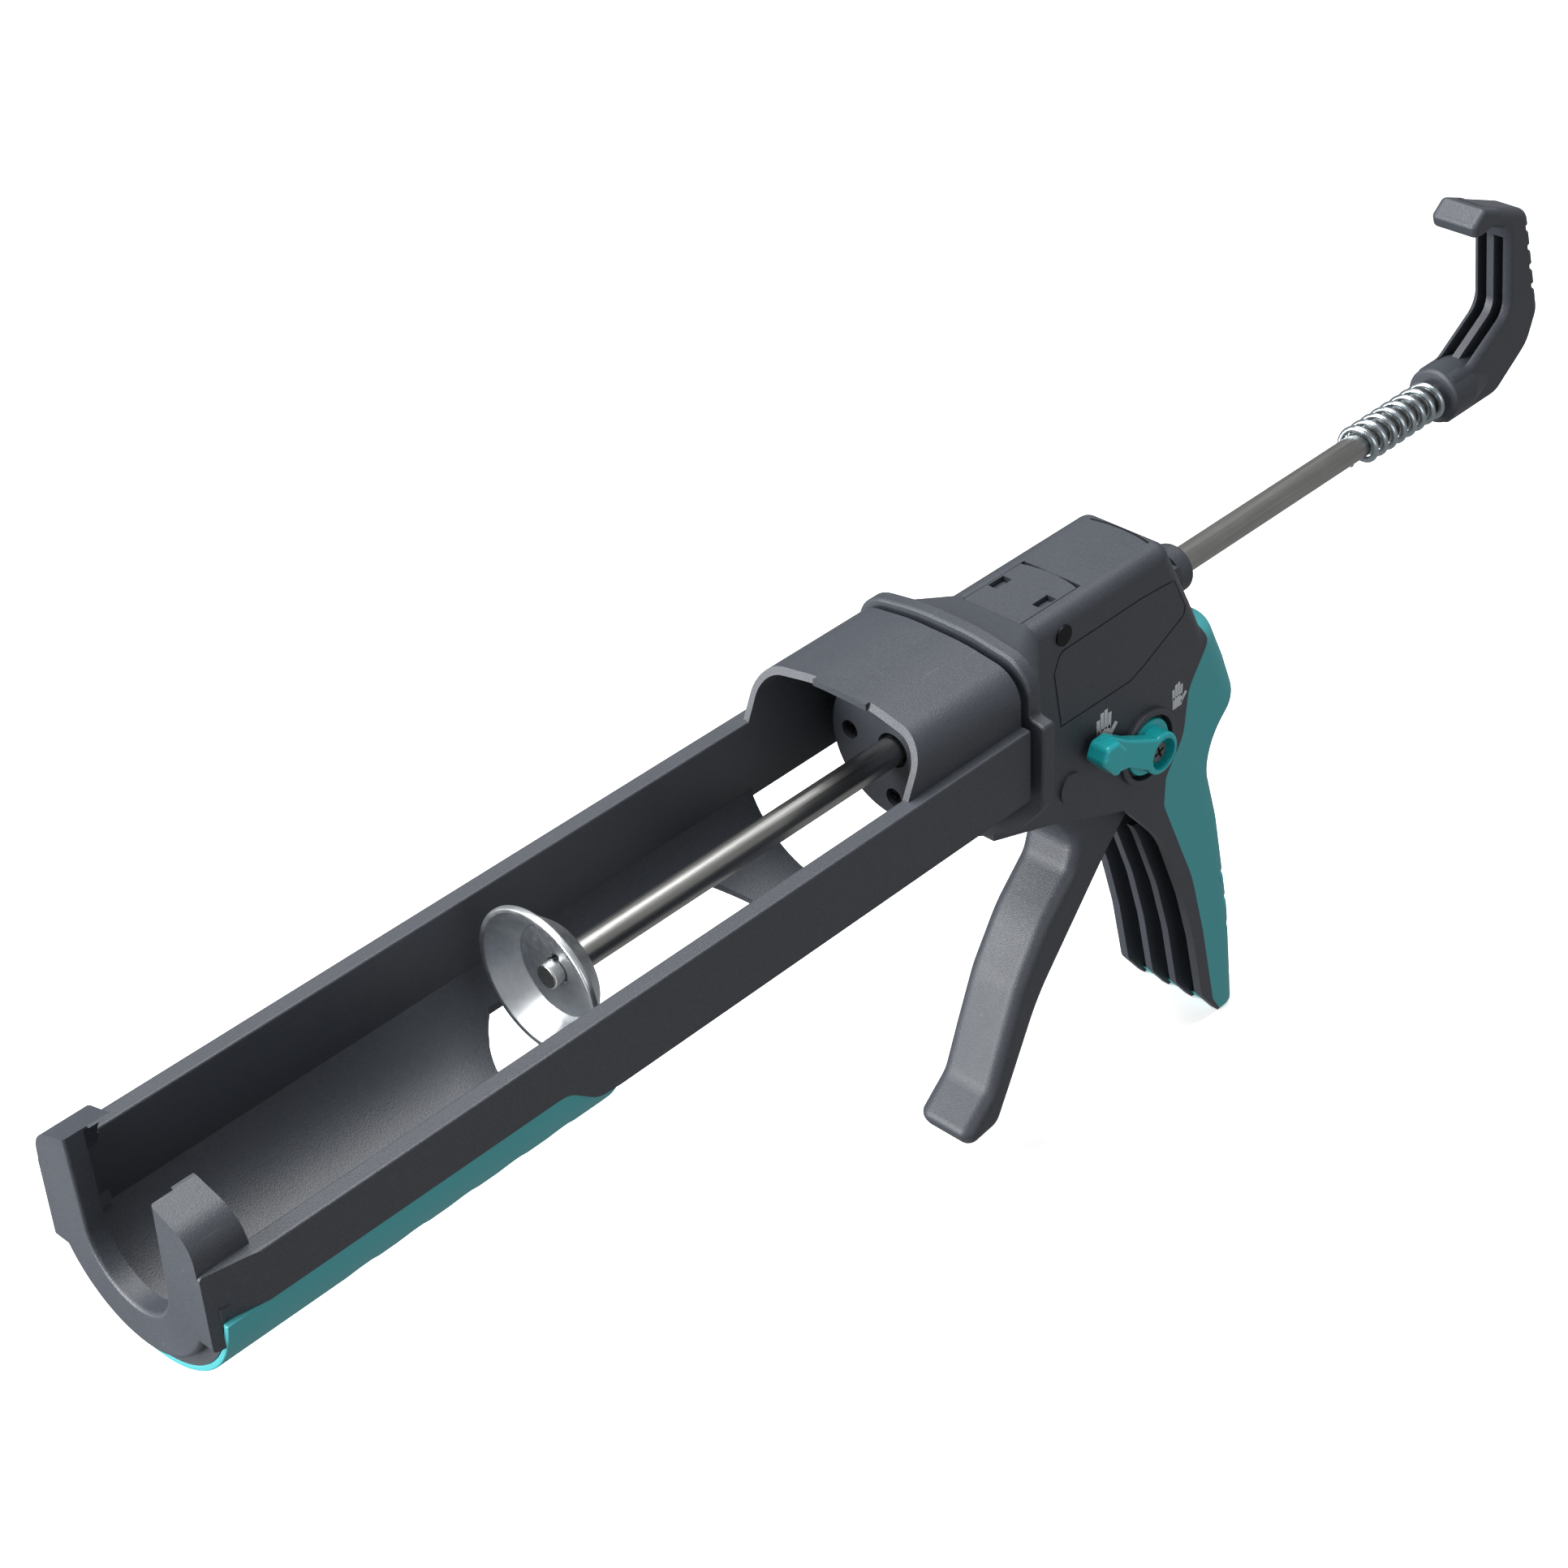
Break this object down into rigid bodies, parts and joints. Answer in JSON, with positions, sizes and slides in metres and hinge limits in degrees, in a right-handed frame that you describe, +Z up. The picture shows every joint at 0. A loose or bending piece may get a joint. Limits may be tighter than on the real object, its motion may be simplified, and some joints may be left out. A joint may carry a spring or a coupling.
{
  "type": "caulking gun",
  "caption": "Half-shell caulking gun: swivelling cradle, push rod with plunger and hanging hook, pistol grip, trigger and grip-span knob.",
  "frame": {"origin": "on the push rod's axis, in the face of the nose plate that the cartridge's shoulder bears on", "axes": "+X along the rod towards the nozzle, +Y to the left, +Z up, out of the cradle's open side"},
  "size_m": [0.5333, 0.0682, 0.2158],
  "materials": {
    "anthracite_plastic": "fine spark texture",
    "teal_rubber": "matt",
    "teal_plastic": "semi-gloss",
    "pale_plastic": "natural acetal",
    "zinc_steel": "bright zinc",
    "bright_steel": "drawn bar",
    "spring_steel": "zinc-plated wire",
    "hard_steel": "case-hardened, oiled"
  },
  "bodies": {
    "housing": {"housing": "anthracite_plastic", "handle_grip": "teal_rubber", "top_cover": "anthracite_plastic", "rear_bush": "pale_plastic", "upper_pin": "zinc_steel", "trigger_pin": "anthracite_plastic", "swivel_disc": "anthracite_plastic", "swivel_screws": "zinc_steel", "drive_spring": "spring_steel"},
    "cradle": {"cradle": "anthracite_plastic", "cradle_grip": "teal_rubber"},
    "guide": {"front_bush": "pale_plastic"},
    "rod": {"push_rod": "bright_steel", "plunger": "zinc_steel", "plunger_washer": "zinc_steel", "hook": "anthracite_plastic", "hook_pin": "zinc_steel", "buffer_spring": "spring_steel"},
    "trigger": {"trigger": "anthracite_plastic"},
    "drive": {"drive_plates": "hard_steel"},
    "selector": {"selector_knob": "teal_plastic", "knob_screw": "zinc_steel", "selector_cam": "pale_plastic"}
  },
  "joints": [
    {"name": "cradle_swivel", "type": "hinge", "parent": "housing", "child": "cradle", "pos_m": [-0.25, 0, 0], "axis": [1, 0, 0], "continuous": true},
    {"name": "rod_turn", "type": "hinge", "parent": "housing", "child": "guide", "pos_m": [-0.25, 0, 0], "axis": [1, 0, 0], "continuous": true},
    {"name": "rod_slide", "type": "slide", "parent": "guide", "child": "rod", "axis": [1, 0, 0], "range_m": [-0.1138, 0.083]},
    {"name": "trigger_pull", "type": "hinge", "parent": "housing", "child": "trigger", "pos_m": [-0.2937, 0, -0.0337], "axis": [0, 1, 0], "range_deg": [0, 34], "stiffness_Nm_per_rad": 0.4, "springref_deg": -14.32},
    {"name": "drive_slide", "type": "slide", "parent": "housing", "child": "drive", "axis": [1, 0, 0], "range_m": [0, 0.0214], "deforming": ["drive_spring"]},
    {"name": "selector_turn", "type": "hinge", "parent": "housing", "child": "selector", "pos_m": [-0.3264, 0, -0.0375], "axis": [0, -1, 0], "range_deg": [0, 115]}
  ],
  "couplings": [
    {"joint": "drive_slide", "follows": "trigger_pull", "m_per_rad": 0.03606}
  ]
}
